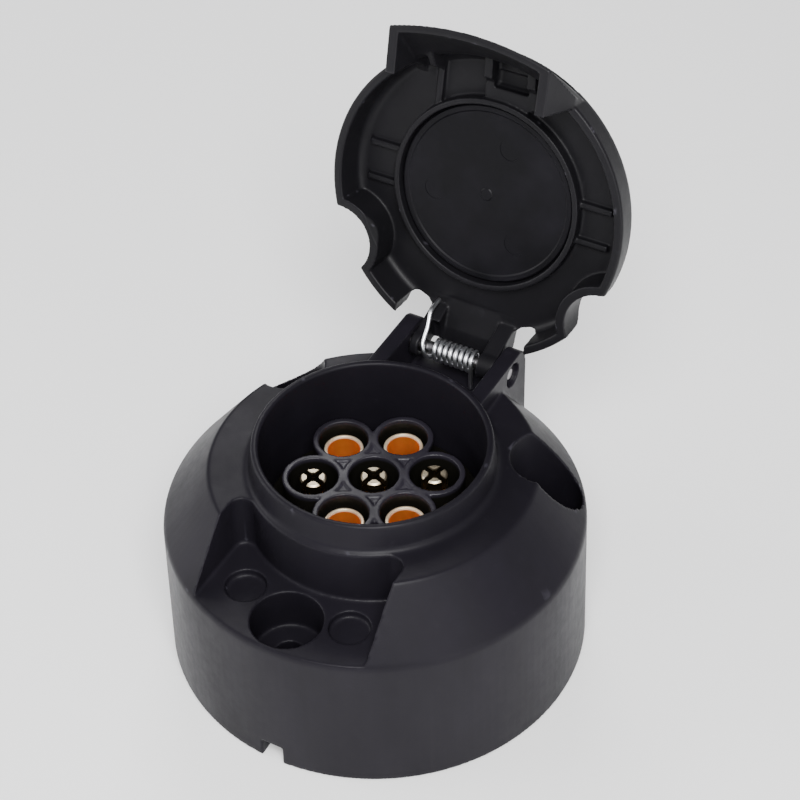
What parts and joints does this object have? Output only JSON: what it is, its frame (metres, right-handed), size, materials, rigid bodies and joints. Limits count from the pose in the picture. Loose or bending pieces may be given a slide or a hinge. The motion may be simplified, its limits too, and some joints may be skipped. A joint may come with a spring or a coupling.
{
  "type": "trailer wiring connector",
  "caption": "Round surface-mount trailer wiring socket with brass contacts in a barrel, three screw pockets and a sprung hinged lid standing open.",
  "frame": {"origin": "centre of the round mounting face, on the barrel's axis", "axes": "+Z along the barrel's axis, out of the socket's mouth; +Y towards the lid's hinge; -Y towards the front slot"},
  "size_m": [0.082, 0.0947, 0.1119],
  "materials": {
    "moulded_black": "satin moulded nylon",
    "insert_black": "satin moulded plastic",
    "brass": "turned, bright",
    "plated_steel": "bright zinc plate",
    "rubber": "satin black"
  },
  "bodies": {
    "base": {"housing": "moulded_black", "hinge_pin": "plated_steel", "hinge_spring": "plated_steel", "contact_insert": "insert_black", "socket_contact_90": "brass", "socket_contact_150": "brass", "socket_contact_270": "brass", "socket_contact_330": "brass", "pin_contact_centre": "brass", "pin_contact_30": "brass", "pin_contact_210": "brass", "terminal_screw_centre": "plated_steel", "terminal_screw_30": "plated_steel", "terminal_screw_90": "plated_steel", "terminal_screw_150": "plated_steel", "terminal_screw_210": "plated_steel", "terminal_screw_270": "plated_steel", "terminal_screw_330": "plated_steel", "insert_screw_0": "plated_steel", "insert_screw_1": "plated_steel", "insert_screw_2": "plated_steel", "rear_boot": "rubber"},
    "lid": {"lid": "moulded_black", "lid_seal_disc": "rubber"}
  },
  "joints": [
    {"name": "lid_hinge", "type": "hinge", "parent": "base", "child": "lid", "pos_m": [0, 0.0328, 0.0435], "axis": [-1, 0, 0], "range_deg": [-103.2, 6.8], "deforming": ["hinge_spring"]}
  ]
}
